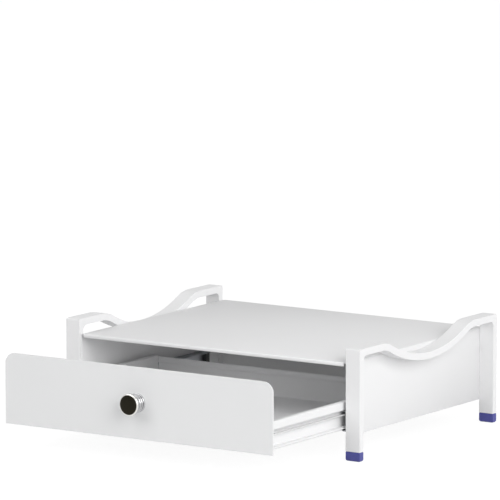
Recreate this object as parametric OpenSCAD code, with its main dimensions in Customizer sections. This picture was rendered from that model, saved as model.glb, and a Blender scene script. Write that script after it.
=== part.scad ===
// Pod drawer with a wave-railed stand.
// X is the width, Y runs from the front to the back, Z is up.
// The origin is on the floor, at the middle of the four feet.
// The drawer stands open by open_rest.

/* [Stand] */
// Width over the side frames
overall_w = 470; // [440:1:500]
// Depth over the legs
overall_d = 350; // [335:1:380]
// Height from the floor to the level part of the rails
overall_h = 150; // [146:1:170]
// Width of the side frames' tube, seen from the front
bar_w = 22; // [18:0.5:26]
// Thickness of the side frames' tube
bar_t = 9.5; // [9:0.5:12]
// Wall of the tube
bar_wall = 1.2; // [0.8:0.1:1.4]
// Radius inside each top corner of a side frame
corner_in_r = 7; // [3:0.5:12]
// Radius outside each top corner of a side frame
corner_out_r = 2; // [1:0.5:6]
// Level length of a rail at each end, before the wave
wave_flat = 55; // [45:1:70]
// How far the rail dips in the middle
wave_drop = 27.3; // [15:0.1:30]
// Centre-line radius of the two crests of the wave
wave_crest_r = 55; // [35:1:75]

/* [Feet] */
// Height of the visible part of a foot cap
cap_h = 12.8; // [8:0.2:18]
// Radius of the bottom edges of a foot cap
cap_edge_r = 2; // [0.5:0.5:3]
// How far a cap's plug goes up into the tube
cap_plug_h = 14; // [8:1:20]
// Play of the plug in the tube, each side
cap_clear = 0.1; // [0.05:0.05:0.2]

/* [Case] */
// Height of the shelf above the floor
shelf_z = 130; // [126:1:132]
// Height of the case's bottom edge above the floor
case_bottom_z = 31; // [24:1:31]
// Thickness of the case, back and tray sheet
sheet_t = 1; // [0.8:0.1:1.2]
// Outer radius of the bends along the shelf's sides
case_bend_r = 3; // [2:0.5:5]
// Height of the lip folded down at the shelf's front
lip_h = 5; // [4:0.5:5]
// Width of the flanges folded forwards at the sides of the back
flange_w = 12; // [10:1:16]
// How far the back stands in from the rear faces of the legs
back_setback = 1; // [0.5:0.1:1.5]

/* [Drawer] */
// How far the drawer stands open at rest
open_rest = 173; // [0:1:225]
// Thickness of the drawer front
front_t = 2; // [1.5:0.1:2.5]
// Gap between the closed front and the case behind it
front_gap = 0.5; // [0.4:0.1:1]
// Gap between the front and each leg
front_side_gap = 1; // [0.5:0.1:2]
// Height of the front's bottom edge above the floor
front_bottom_z = 34; // [32:1:36]
// Radius of the front's two top corners
front_corner_r = 15; // [4:1:25]
// Height of the tray's underside above the floor
tray_bottom_z = 38; // [37:0.5:38]
// Height of the tray's side walls
tray_side_h = 39.5; // [39.5:0.5:45]
// Height of the tray's back wall
tray_back_h = 38; // [25:1:45]
// Height of the tray's front wall
tray_front_h = 32; // [24:1:36]
// Width of the rim folded out at the top of a side wall
tray_rim_w = 7; // [5:0.5:7.5]
// Height of the rim's outer face
tray_rim_h = 11; // [6:0.5:11]
// Height of the doubled edge at the top of the tray's back wall
tray_hem_h = 8; // [4:1:12]
// Space left behind the tray when the drawer is closed
tray_back_gap = 4; // [2:0.5:10]

/* [Slides] */
// Height of a slide
slide_h = 27; // [26:0.5:27]
// Length of a cabinet member
slide_l = 300; // [290:1:300]
// Thickness of a slide, from the case to the tray
slide_t = 11; // [10.5:0.1:12]
// Height of a slide's middle above the floor
slide_z = 51.5; // [51.5:0.1:52]
// Travel of the drawer from closed to fully open
slide_travel = 225; // [180:1:226]
// Thickness of the slides' rolled steel
member_t = 1; // [0.8:0.1:1.1]
// Setback of the slides' front ends from the case's front edge
slide_setback = 2; // [1:0.5:4]
// Ball diameter
ball_d = 3.9; // [3.5:0.1:4]
// Play between the balls and their races
race_clear = 0.05; // [0.03:0.01:0.08]
// How far the races reach around the balls past level, in degrees
race_curl = 10; // [5:1:20]
// Spacing of the balls in a cage
ball_pitch = 8; // [6:0.5:10]
// Balls in each row
balls_per_row = 7; // [5:1:7]
// Length of a cage beyond the middles of its outer balls
cage_end = 6; // [4:0.5:8]
// Thickness of a ball cage
cage_t = 0.5; // [0.4:0.1:0.6]
// Play between a cage and the member beside it
cage_clear = 0.5; // [0.4:0.1:0.6]
// Length of the rear buffer
buffer_l = 8; // [5:0.5:12]
// Gap to the buffer when the drawer is closed
buffer_gap = 0.4; // [0.3:0.1:1]

/* [Knob] */
// Height of the knob's axis above the floor
knob_z = 82.5; // [80:0.5:110]
// Diameter of the knob's face
knob_face_d = 30; // [26:0.5:36]
// Thickness of the knob's head
knob_head_t = 6; // [5.5:0.5:12]
// Radius of the head's rounded edges
knob_edge_r = 1.8; // [1:0.1:2]
// Sphere radius of the head's domed face
knob_dome_r = 50; // [50:5:200]
// Diameter over the first rib, next to the backplate
knob_rib_d = 25; // [22:0.5:26]
// Growth in diameter from one rib to the next
knob_rib_step = 0.25; // [0:0.25:1.5]
// Section radius of a rib
knob_rib_r = 1.9; // [1.5:0.1:2.5]
// Spacing of the ribs
knob_rib_pitch = 4.2; // [4:0.1:6]
// Number of ribs
knob_ribs = 3; // [1:1:4]
// Length of plain neck between the last rib's place and the head
knob_shoulder = 0.6; // [0.4:0.1:3]
// Diameter of the knob's neck between its ribs
knob_neck_d = 19; // [14:0.5:21]
// Diameter of the backplate
plate_d = 26; // [20:0.5:30]
// Thickness of the backplate
plate_t = 2.5; // [2:0.5:5]

/* [Fasteners] */
// Diameter of the machine screws, studs and rivets
screw_d = 4; // [3:0.5:4]
// Radial play of a screw in its thread or nut
thread_clear = 0.05; // [0.03:0.01:0.1]
// Radial play of a screw in a plain hole
hole_clear = 0.2; // [0.1:0.05:0.3]
// Diameter of the frame screws' button heads
button_d = 7.6; // [7:0.1:7.6]
// Height of the button heads
button_h = 2.2; // [1.5:0.1:2.4]
// Width across flats of the button heads' sockets
socket_af = 2.5; // [2:0.1:3]
// Length of the frame screws under the head
frame_screw_l = 8; // [6:0.5:10]
// Distance of a frame screw from the outer face of its leg
frame_screw_in = 6.2; // [6.1:0.1:6.3]
// Height of the lower frame screws above the floor
frame_screw_low = 72; // [70:1:74]
// Height of the upper frame screws above the floor
frame_screw_high = 88; // [84:1:110]
// Head diameter of the slide rivets, countersunk flush
rivet_head_d = 6; // [5.6:0.1:6]
// How deep the outer slide rivets go into the case's wall
rivet_seat = 0.6; // [0.4:0.1:0.7]
// Distance of the end rivets from the ends of a drawer member
rivet_end = 35; // [20:1:60]
// Distance of the outer front studs from the drawer's middle
stud_x = 165; // [120:1:185]
// Distance of the inner front studs from the drawer's middle
stud_x_in = 60; // [30:1:90]
// Height of the front studs above the floor
stud_z = 54; // [50:1:60]
// Length of the front studs behind the drawer front
stud_l = 6; // [5:0.5:8]
// Width across flats of the nuts
nut_af = 7; // [6:0.1:8]
// Height of the nuts
nut_h = 3.2; // [2.4:0.1:4]
// Diameter of the knob screw's head
pan_d = 8; // [7:0.1:9]
// Height of the knob screw's head
pan_h = 2.6; // [2:0.1:3]
// Width of the cross slot in the knob screw's head
slot_w = 1.1; // [0.8:0.1:1.4]
// Thread length of the knob screw inside the knob
knob_grip = 12; // [8:1:16]
// Diameter of the washer
washer_d = 9; // [8.5:0.1:10]
// Thickness of the washer
washer_t = 0.8; // [0.5:0.1:1.2]

/* [Hidden] */
$fn = 64;
// How far a cutter runs out past a face, and a joined piece into its neighbour
over = 1;
WHITE = [0.93, 0.93, 0.94];
ZINC = [0.6, 0.62, 0.64];

// Planes of the stand and the case
front_y = -overall_d / 2;
rear_y = overall_d / 2;
case_hw = overall_w / 2 - bar_w;
case_front_y = front_y + front_t + front_gap;
case_rear_y = rear_y - back_setback;
case_inner_hw = case_hw - sheet_t;

// The wave of a rail: a level stretch, a crest arc, then half of the dip arc
wave_half = overall_d / 2 - wave_flat;
wave_angle = 2 * atan(wave_drop / wave_half);
wave_dip_r = wave_half / sin(wave_angle) - wave_crest_r;
rail_mid_z = overall_h - bar_t / 2;

// Tray, with the drawer closed
tray_hw = case_inner_hw - slide_t;
tray_front_y = front_y + front_t;
tray_rear_y = case_rear_y - sheet_t - tray_back_gap;
tray_l = tray_rear_y - tray_front_y;
front_hw = case_hw - front_side_gap;

// Slides, in the plane of a section: out is the distance from the object's middle
member_l = slide_l - buffer_l - buffer_gap;
slide_y = case_front_y + slide_setback;
race_r = ball_d / 2 + race_clear;
race_out_r = race_r + member_t;
ball_out = case_inner_hw - slide_t / 2;
ball_up = slide_h / 2 - race_out_r;
inner_h = slide_h - 2 * member_t - 4 * race_r;
cage_l = (balls_per_row - 1) * ball_pitch + 2 * cage_end;
cage_y = slide_y + (member_l - cage_l) / 2;
rivet_at = [rivet_end, member_l / 2, member_l - rivet_end];
countersink_h = (rivet_head_d - screw_d) / 2;
frame_screw_z = [frame_screw_low, frame_screw_high];

// Knob, measured from the drawer front outwards
knob_neck_l = knob_ribs * knob_rib_pitch + knob_shoulder;
knob_l = plate_t + knob_neck_l + knob_head_t;

// Which way each leg lies: front or rear, left or right
FRONT = -1;
REAR = 1;
LEFT = -1;
RIGHT = 1;

// ---------- helpers ----------

// A rectangle centred on x = 0 that stands on y = 0, with round top corners
module top_rounded(w, h, r) {
    translate([-w / 2, 0]) square([w, h - r]);
    translate([-w / 2 + r, 0]) square([w - 2 * r, h]);
    for (side = [-1, 1]) translate([side * (w / 2 - r), h - r]) circle(r);
}

// A ring's part between two angles that lie less than 80 degrees apart
module ring_sector(r_in, r_out, from, to) {
    far = 1.35 * r_out;
    intersection() {
        difference() {
            circle(r_out, $fn = 360);
            circle(r_in, $fn = 360);
        }
        polygon([[0, 0], far * [cos(from), sin(from)], far * [cos(to), sin(to)]]);
    }
}

// Extrudes an outline in X and Z along Y, from y0 to y1
module along_y(y0, y1) {
    translate([0, y1, 0]) rotate([90, 0, 0]) linear_extrude(y1 - y0) children();
}

// Extrudes an outline in Y and Z along X, from x0 to x1
module along_x(x0, x1) {
    translate([x0, 0, 0]) rotate([90, 0, 90]) linear_extrude(x1 - x0) children();
}

// Places what is built for the right side on either side
module on_side(side) {
    if (side == RIGHT) children();
    else mirror([1, 0, 0]) children();
}

// Moves a drawer piece from closed to where it stands at rest
module at_rest(share = 1) {
    translate([0, -share * open_rest, 0]) children();
}

// A cylinder along X, from x0 to x1, through [y, z]
module x_pin(d, x0, x1, y, z) {
    translate([x0, y, z]) rotate([0, 90, 0]) cylinder(d = d, h = x1 - x0);
}

// A cylinder along Y, from y0 to y1, through [x, z]
module y_pin(d, y0, y1, x, z) {
    translate([x, y1, z]) rotate([90, 0, 0]) cylinder(d = d, h = y1 - y0);
}

// ---------- side frames ----------

// Points on an arc, counted from first so that a joint isn't named twice
function arc(centre, r, from, to, steps, first = 0) = [
    for (i = [first : steps])
        let (angle = from + (to - from) * i / steps)
        centre + r * [cos(angle), sin(angle)]
];

// A row of points on the other side of the middle plane, in reverse order
function mirrored(points) = [for (i = [len(points) - 1 : -1 : 0]) [-points[i][0], points[i][1]]];

// A row of points without its first one
function tail(points) = [for (i = [1 : len(points) - 1]) points[i]];

// Upper edge of the bent tube, drawn in by inset, from the front leg's end to the middle
function upper_edge(inset, leg_end) =
    let (
        top = overall_h - inset,
        out_y = front_y + inset,
        round_r = max(corner_out_r - inset, 0.2)
    )
    concat(
        [[out_y, leg_end]],
        arc([out_y + round_r, top - round_r], round_r, 180, 90, 6),
        arc([front_y + wave_flat, rail_mid_z - wave_crest_r],
            wave_crest_r + bar_t / 2 - inset, 90, 90 - wave_angle, 10),
        arc([0, rail_mid_z - wave_drop + wave_dip_r],
            wave_dip_r - bar_t / 2 + inset, 270 - wave_angle, 270, 14, 1)
    );

// Lower edge of the bent tube, drawn in by inset, from the middle to the front leg's end
function lower_edge(inset, leg_end) =
    let (
        leg_y = front_y + bar_t - inset,
        fillet = corner_in_r + inset,
        fillet_z = overall_h - bar_t + inset - fillet
    )
    concat(
        arc([0, rail_mid_z - wave_drop + wave_dip_r],
            wave_dip_r + bar_t / 2 - inset, 270, 270 - wave_angle, 14),
        arc([front_y + wave_flat, rail_mid_z - wave_crest_r],
            wave_crest_r - bar_t / 2 + inset, 90 - wave_angle, 90, 10, 1),
        arc([leg_y + fillet, fillet_z], fillet, 90, 180, 10),
        [[leg_y, leg_end]]
    );

// Side view of the bent tube; a hollow runs out through the leg ends
module bar_outline(inset, leg_end) {
    upper = upper_edge(inset, leg_end);
    lower = lower_edge(inset, leg_end);
    polygon(concat(upper, tail(mirrored(upper)), mirrored(lower), tail(lower)));
}

module side_frame(side) {
    color(WHITE) on_side(side) difference() {
        along_x(case_hw, case_hw + bar_w) bar_outline(0, cap_h);
        along_x(case_hw + bar_wall, case_hw + bar_w - bar_wall) bar_outline(bar_wall, cap_h - over);
        for (end = [FRONT, REAR], z = frame_screw_z)
            x_pin(screw_d + 2 * thread_clear, case_hw - over, case_hw + bar_wall + over,
                  end * (rear_y - frame_screw_in), z);
    }
}

// ---------- feet ----------

// A bar's end as seen from one side, with round bottom corners
module cap_outline(w) {
    translate([0, cap_h]) mirror([0, 1]) top_rounded(w, cap_h, cap_edge_r);
}

module foot_cap(side, end) {
    plug_w = bar_w - 2 * bar_wall - 2 * cap_clear;
    plug_d = bar_t - 2 * bar_wall - 2 * cap_clear;
    color([0.28, 0.28, 0.53])
    translate([side * (case_hw + bar_w / 2), end * (rear_y - bar_t / 2), 0]) {
        intersection() {
            along_y(-bar_t / 2, bar_t / 2) cap_outline(bar_w);
            along_x(-bar_w / 2, bar_w / 2) cap_outline(bar_t);
        }
        translate([-plug_w / 2, -plug_d / 2, cap_h - over]) cube([plug_w, plug_d, cap_plug_h + over]);
    }
}

// ---------- case ----------

// Front view of the folded sheet: the shelf, its round bends and the two side walls
module case_section() {
    wall_h = shelf_z - case_bottom_z;
    translate([0, case_bottom_z]) difference() {
        top_rounded(2 * case_hw, wall_h, case_bend_r);
        translate([0, -over])
            top_rounded(2 * case_inner_hw, wall_h + over - sheet_t, case_bend_r - sheet_t);
    }
}

// Holes of the frame screws in the sheet at the legs
module frame_screw_holes(side, end) {
    for (z = frame_screw_z) on_side(side)
        x_pin(screw_d + 2 * hole_clear, case_inner_hw - sheet_t - over, case_hw + over,
              end * (rear_y - frame_screw_in), z);
}

// A countersunk rivet whose head's face lies at z = 0 and whose shank runs towards +Z
module slide_rivet(seat) {
    cylinder(d1 = rivet_head_d, d2 = screw_d, h = countersink_h);
    cylinder(d = screw_d, h = member_t + seat);
}

// Its hole, which starts above the face
module slide_rivet_hole(seat) {
    wide = rivet_head_d + 2 * thread_clear;
    narrow = screw_d + 2 * thread_clear;
    translate([0, 0, -over]) cylinder(d = wide, h = over);
    cylinder(d1 = wide, d2 = narrow, h = countersink_h);
    cylinder(d = narrow, h = member_t + seat);
}

// Places a rivet on the face of the right cabinet member; it ends inside the case's wall
module at_cabinet_rivets() {
    for (at = rivet_at) translate([case_inner_hw - member_t, slide_y + at, slide_z])
        rotate([0, 90, 0]) children();
}

// Places a rivet on the face of the right drawer member; it goes through the tray's wall
module at_drawer_rivets() {
    for (at = rivet_at) translate([tray_hw + member_t, slide_y + at, slide_z])
        rotate([0, -90, 0]) children();
}

module shell() {
    color(WHITE) difference() {
        union() {
            along_y(case_front_y, case_rear_y) case_section();
            translate([-case_inner_hw, case_front_y, shelf_z - lip_h])
                cube([2 * case_inner_hw, sheet_t, lip_h - sheet_t / 2]);
        }
        for (side = [LEFT, RIGHT], end = [FRONT, REAR]) frame_screw_holes(side, end);
        for (side = [LEFT, RIGHT]) on_side(side) at_cabinet_rivets() slide_rivet_hole(rivet_seat);
    }
}

// A plate across the back, with a flange along each side wall
module back_panel() {
    panel_h = shelf_z - sheet_t - case_bottom_z;
    color(WHITE) difference() {
        along_y(case_rear_y - flange_w, case_rear_y) translate([0, case_bottom_z])
            top_rounded(2 * case_inner_hw, panel_h, case_bend_r - sheet_t);
        translate([sheet_t - case_inner_hw, case_rear_y - flange_w - over, case_bottom_z - over])
            cube([2 * (case_inner_hw - sheet_t), flange_w - sheet_t + over, panel_h + 2 * over]);
        for (side = [LEFT, RIGHT]) frame_screw_holes(side, REAR);
    }
}

// ---------- frame screws ----------

// A button-head screw whose head seats at x = 0 and whose thread runs towards +X
module frame_screw() {
    rotate([0, 90, 0]) cylinder(d = screw_d, h = frame_screw_l);
    rotate([0, -90, 0]) difference() {
        intersection() {
            cylinder(d = button_d, h = button_h);
            translate([0, 0, button_h - button_d / 2 - over]) sphere(d = button_d + 2 * over);
        }
        translate([0, 0, button_h - socket_af / 2])
            cylinder(d = socket_af / cos(30), h = button_h, $fn = 6);
    }
}

module frame_screws(side) {
    color(ZINC) on_side(side) for (z = frame_screw_z) {
        translate([case_inner_hw, front_y + frame_screw_in, z]) frame_screw();
        translate([case_inner_hw - sheet_t, rear_y - frame_screw_in, z]) frame_screw();
    }
}

// ---------- slides ----------
// Section outlines lie in X and Z on the right side, with z = 0 at the slide's middle

// A flange rolled into a ball race: flat from the web, then an arc around the balls
module race(web_out, r_side, from, to) {
    flat_z = r_side > 0 ? race_r : -race_out_r;
    low = min(web_out, ball_out);
    translate([low, ball_up + flat_z]) square([abs(web_out - ball_out), member_t]);
    translate([ball_out, ball_up]) ring_sector(race_r, race_out_r, from, (from + to) / 2);
    translate([ball_out, ball_up]) ring_sector(race_r, race_out_r, (from + to) / 2, to);
}

module cabinet_section() {
    translate([case_inner_hw - member_t, -slide_h / 2]) square([member_t, slide_h]);
    for (half = [0, 1]) mirror([0, half]) race(case_inner_hw - member_t / 2, 1, 90, 180 + race_curl);
}

module drawer_section() {
    translate([tray_hw, -inner_h / 2]) square([member_t, inner_h]);
    for (half = [0, 1]) mirror([0, half]) race(tray_hw + member_t / 2, -1, 270, 360 - 2 * race_curl);
}

module cabinet_member(side) {
    color(ZINC) on_side(side) difference() {
        translate([0, 0, slide_z]) along_y(slide_y, slide_y + slide_l) cabinet_section();
        at_cabinet_rivets() slide_rivet_hole(rivet_seat);
    }
}

module cabinet_rivets(side) {
    color(ZINC) on_side(side) at_cabinet_rivets() slide_rivet(rivet_seat);
}

module drawer_member(side) {
    color(WHITE) at_rest() on_side(side) difference() {
        translate([0, 0, slide_z]) along_y(slide_y, slide_y + member_l) drawer_section();
        at_drawer_rivets() slide_rivet_hole(sheet_t + over);
    }
}

module drawer_rivets(side) {
    color(WHITE) at_rest() on_side(side) at_drawer_rivets() slide_rivet(sheet_t);
}

// The cage's web runs beside the cabinet member's; its two flanges carry the balls
module ball_cage(side) {
    web_out = case_inner_hw - member_t - cage_clear;
    flange_in = ball_out - race_r + cage_clear;
    color([0.35, 0.36, 0.38]) at_rest(0.5) on_side(side) difference() {
        translate([0, cage_y, slide_z]) {
            translate([web_out - cage_t, 0, -ball_up - cage_t / 2])
                cube([cage_t, cage_l, 2 * ball_up + cage_t]);
            for (up = [-ball_up, ball_up])
                translate([flange_in, 0, up - cage_t / 2])
                    cube([web_out - cage_t / 2 - flange_in, cage_l, cage_t]);
        }
        ball_places() cylinder(d = ball_d + 2 * race_clear, h = 3 * cage_t, center = true);
    }
}

module ball_places() {
    for (up = [-ball_up, ball_up], i = [0 : balls_per_row - 1])
        translate([ball_out, cage_y + cage_end + i * ball_pitch, slide_z + up]) children();
}

module slide_balls(side) {
    color(ZINC) at_rest(0.5) on_side(side) ball_places() sphere(d = ball_d, $fn = 32);
}

// A block held between the flanges at the rear end of a cabinet member, with a nose
// between the races that the drawer member's end meets
module slide_buffer(side) {
    inside_h = slide_h - 2 * member_t;
    web_face = case_inner_hw - member_t;
    nose_in = ball_out - race_r + cage_clear;
    color([0.1, 0.1, 0.1]) on_side(side)
    translate([0, slide_y + slide_l - buffer_l, slide_z]) {
        translate([ball_out, 0, -inside_h / 2]) cube([web_face - ball_out, buffer_l, inside_h]);
        translate([nose_in, 0, -ball_up]) cube([web_face - nose_in, buffer_l, 2 * ball_up]);
    }
}

// ---------- drawer ----------

module drawer_front() {
    color(WHITE) at_rest() difference() {
        along_y(front_y, front_y + front_t)
            translate([0, front_bottom_z])
                top_rounded(2 * front_hw, shelf_z - front_bottom_z, front_corner_r);
        y_pin(screw_d + 2 * hole_clear, front_y - over, front_y + front_t + over, 0, knob_z);
    }
}

// Front view of the tray: the floor, the walls and the rims folded out and down
module tray_section() {
    translate([-tray_hw, 0]) square([2 * tray_hw, sheet_t]);
    for (side = [0, 1]) mirror([side, 0]) translate([tray_hw, 0]) {
        translate([-sheet_t, 0]) square([sheet_t, tray_side_h]);
        translate([-sheet_t, tray_side_h - sheet_t]) square([tray_rim_w + sheet_t, sheet_t]);
        translate([tray_rim_w - sheet_t, tray_side_h - tray_rim_h]) square([sheet_t, tray_rim_h]);
    }
}

module drawer_tray() {
    inner_w = 2 * (tray_hw - sheet_t / 2);
    color(WHITE) at_rest() difference() {
        translate([0, 0, tray_bottom_z]) union() {
            along_y(tray_front_y, tray_rear_y) tray_section();
            translate([-inner_w / 2, tray_front_y, sheet_t / 2])
                cube([inner_w, sheet_t, tray_front_h - sheet_t / 2]);
            translate([-inner_w / 2, tray_rear_y - sheet_t, sheet_t / 2])
                cube([inner_w, sheet_t, tray_back_h - sheet_t / 2]);
            translate([-inner_w / 2, tray_rear_y - 2 * sheet_t, tray_back_h - tray_hem_h])
                cube([inner_w, sheet_t * 1.5, tray_hem_h]);
        }
        stud_places() y_pin(screw_d + 2 * hole_clear, tray_front_y - over,
                            tray_front_y + sheet_t + over, 0, 0);
        for (side = [LEFT, RIGHT]) on_side(side)
            at_drawer_rivets() slide_rivet_hole(sheet_t + over);
    }
}

// ---------- front studs and nuts ----------

module stud_places() {
    for (x = [-stud_x, -stud_x_in, stud_x_in, stud_x]) translate([x, 0, stud_z]) children();
}

module front_studs() {
    color(ZINC) at_rest() stud_places()
        y_pin(screw_d, tray_front_y, tray_front_y + stud_l, 0, 0);
}

module front_nuts() {
    nut_y = tray_front_y + sheet_t;
    color(ZINC) at_rest() stud_places() difference() {
        translate([0, nut_y + nut_h, 0]) rotate([90, 0, 0])
            cylinder(d = nut_af / cos(30), h = nut_h, $fn = 6);
        y_pin(screw_d + 2 * thread_clear, nut_y - over, nut_y + nut_h + over, 0, 0);
    }
}

// ---------- knob ----------

// Places what is turned about Z, with its foot at z = 0, on the drawer front
module on_front() {
    at_rest() translate([0, front_y, knob_z]) rotate([90, 0, 0]) children();
}

// Half section of the knob body above the backplate
module knob_outline() {
    head_low = plate_t + knob_neck_l;
    face_r = knob_face_d / 2;
    translate([0, plate_t]) square([knob_neck_d / 2, knob_neck_l + over]);
    for (i = [0 : knob_ribs - 1]) {
        rib_out = (knob_rib_d + i * knob_rib_step) / 2;
        translate([rib_out - knob_rib_r, plate_t + (i + 0.5) * knob_rib_pitch]) circle(knob_rib_r);
    }
    intersection() {
        union() {
            translate([0, head_low]) square([face_r - knob_edge_r, knob_head_t]);
            translate([0, head_low + knob_edge_r]) square([face_r, knob_head_t - 2 * knob_edge_r]);
            for (z = [knob_edge_r, knob_head_t - knob_edge_r])
                translate([face_r - knob_edge_r, head_low + z]) circle(knob_edge_r);
        }
        translate([0, knob_l - knob_dome_r]) circle(knob_dome_r, $fn = 360);
    }
}

module knob_body() {
    color([0.7, 0.7, 0.68]) on_front() difference() {
        rotate_extrude() intersection() {
            knob_outline();
            square([knob_face_d, knob_l + over]);
        }
        cylinder(d = screw_d + 2 * thread_clear, h = plate_t + knob_grip + over);
    }
}

module knob_backplate() {
    edge_r = plate_t / 3;
    color([0.7, 0.7, 0.68]) on_front() difference() {
        rotate_extrude() {
            square([plate_d / 2 - edge_r, plate_t]);
            square([plate_d / 2, plate_t - edge_r]);
            translate([plate_d / 2 - edge_r, plate_t - edge_r]) intersection() {
                circle(edge_r);
                square(edge_r);
            }
        }
        translate([0, 0, -over]) cylinder(d = screw_d + 2 * hole_clear, h = plate_t + 2 * over);
    }
}

// The screw comes from inside the drawer; its head rests on the washer
module knob_screw() {
    head_at = -front_t - washer_t;
    color(ZINC) on_front() {
        translate([0, 0, head_at]) cylinder(d = screw_d, h = plate_t + knob_grip - head_at);
        translate([0, 0, head_at - pan_h]) difference() {
            cylinder(d = pan_d, h = pan_h);
            for (turn = [0, 90]) rotate(turn)
                translate([-pan_d / 4, -slot_w / 2, -over])
                    cube([pan_d / 2, slot_w, pan_h / 2 + over]);
        }
    }
}

module knob_washer() {
    color(ZINC) on_front() translate([0, 0, -front_t - washer_t]) difference() {
        cylinder(d = washer_d, h = washer_t);
        translate([0, 0, -over]) cylinder(d = screw_d + 2 * hole_clear, h = washer_t + 2 * over);
    }
}

// ---------- assembly ----------

shell();
back_panel();
side_frame(LEFT);  // side_frame_left
side_frame(RIGHT);  // side_frame_right
foot_cap(LEFT, FRONT);  // foot_cap_front_left
foot_cap(RIGHT, FRONT);  // foot_cap_front_right
foot_cap(LEFT, REAR);  // foot_cap_rear_left
foot_cap(RIGHT, REAR);  // foot_cap_rear_right
frame_screws(LEFT);  // frame_screws_left
frame_screws(RIGHT);  // frame_screws_right
cabinet_member(LEFT);  // cabinet_member_left
cabinet_member(RIGHT);  // cabinet_member_right
cabinet_rivets(LEFT);  // cabinet_rivets_left
cabinet_rivets(RIGHT);  // cabinet_rivets_right
slide_buffer(LEFT);  // slide_buffer_left
slide_buffer(RIGHT);  // slide_buffer_right
ball_cage(LEFT);  // ball_cage_left
ball_cage(RIGHT);  // ball_cage_right
slide_balls(LEFT);  // slide_balls_left
slide_balls(RIGHT);  // slide_balls_right
drawer_member(LEFT);  // drawer_member_left
drawer_member(RIGHT);  // drawer_member_right
drawer_rivets(LEFT);  // drawer_rivets_left
drawer_rivets(RIGHT);  // drawer_rivets_right
drawer_tray();
drawer_front();
front_studs();
front_nuts();
knob_body();
knob_backplate();
knob_screw();
knob_washer();
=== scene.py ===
# %% [markdown]
# # A steel drawer stand, dressed for its portrait
# The stand is bent and folded steel under one white powder coat: two tube side frames,
# a folded case, a drawer on ball-bearing slides, a turned knob and four blue foot caps.
# The solids come from the frame file, in metres, with X to the right, Y to the back and
# Z up. Each cell below adds one thing that a plain solid lacks: rounded sheet edges,
# real bends, a skin with grain, a turned knob. Nothing is moved or resized.

import math

import bmesh
import bpy
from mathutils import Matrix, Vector


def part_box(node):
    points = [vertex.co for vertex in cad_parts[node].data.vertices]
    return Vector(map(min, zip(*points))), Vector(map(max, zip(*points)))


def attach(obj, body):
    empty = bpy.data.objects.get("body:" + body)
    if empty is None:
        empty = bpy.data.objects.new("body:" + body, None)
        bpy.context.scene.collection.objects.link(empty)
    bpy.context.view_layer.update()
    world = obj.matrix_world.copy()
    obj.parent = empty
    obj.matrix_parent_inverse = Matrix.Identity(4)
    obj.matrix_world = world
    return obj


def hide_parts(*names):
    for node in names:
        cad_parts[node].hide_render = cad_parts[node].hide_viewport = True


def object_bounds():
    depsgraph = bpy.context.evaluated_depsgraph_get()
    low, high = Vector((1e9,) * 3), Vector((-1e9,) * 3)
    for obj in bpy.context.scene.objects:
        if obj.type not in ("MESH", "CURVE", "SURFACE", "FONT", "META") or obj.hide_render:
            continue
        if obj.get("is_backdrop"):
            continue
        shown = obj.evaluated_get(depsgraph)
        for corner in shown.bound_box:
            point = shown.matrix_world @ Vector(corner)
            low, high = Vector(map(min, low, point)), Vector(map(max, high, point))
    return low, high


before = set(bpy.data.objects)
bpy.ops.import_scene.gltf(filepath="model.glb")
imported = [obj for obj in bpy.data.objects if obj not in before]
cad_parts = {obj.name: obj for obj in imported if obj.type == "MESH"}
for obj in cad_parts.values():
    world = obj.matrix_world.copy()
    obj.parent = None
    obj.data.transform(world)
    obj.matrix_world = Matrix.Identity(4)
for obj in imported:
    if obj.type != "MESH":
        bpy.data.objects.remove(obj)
cad_low, cad_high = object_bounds()

# %% [markdown]
# ## Sizes
# The solids' boxes give nearly every size. A box doesn't tell how thick a sheet is or how
# round its bends are, so each cell names the few sizes of that kind where it first needs
# them, in millimetres as on a workshop drawing, turned into Blender's metres.

# %% Read the boxes
MM = 0.001
SHEET = 1.0 * MM            # thickness of the case, back and tray sheet

frame_low, frame_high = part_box("side_frame_right")
case_low, case_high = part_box("shell")
tray_low, tray_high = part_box("drawer_tray")
front_low, front_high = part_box("drawer_front")
for label, size in (("side frame", frame_high - frame_low), ("case", case_high - case_low),
                    ("tray", tray_high - tray_low), ("front", front_high - front_low)):
    print(label, [round(v / MM, 1) for v in size], "mm")

# %% [markdown]
# ## From a list of points to a mesh
# Almost every piece here is either an outline pulled straight or a sheet folded along
# straight lines. Such pieces could be modelled by hand in edit mode, but points that are
# worked out from named sizes can be changed later. A few small helpers join them.

# %% Points to faces
def arc(centre, radius, start, end, steps):
    """Points on an arc, in degrees, both ends included."""
    angles = [math.radians(start + (end - start) * i / steps) for i in range(steps + 1)]
    return [(centre[0] + radius * math.cos(a), centre[1] + radius * math.sin(a)) for a in angles]


def grid_faces(bm, rows):
    """Joins equally long rows of points with quads."""
    made = [[bm.verts.new(p) for p in row] for row in rows]
    for low, high in zip(made, made[1:]):
        for i in range(len(low) - 1):
            bm.faces.new((low[i], low[i + 1], high[i + 1], high[i]))


def closed_stack(bm, rings):
    """Joins closed rings of points with quads and puts a lid on both ends."""
    made = [[bm.verts.new(p) for p in ring] for ring in rings]
    for low, high in zip(made, made[1:]):
        for i in range(len(low)):
            j = (i + 1) % len(low)
            bm.faces.new((low[i], low[j], high[j], high[i]))
    bm.faces.new(made[0])
    bm.faces.new(made[-1])


# %% [markdown]
# A bmesh is a loose heap of faces until its doubled points are welded and all its faces
# look outward. The object made from it is shaded smooth up to an angle, so that arcs look
# round and folds stay crisp.

# %% Faces to pieces
SMOOTH_ANGLE = math.radians(35)
WELD = 1e-6                 # points closer than this become one


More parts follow.
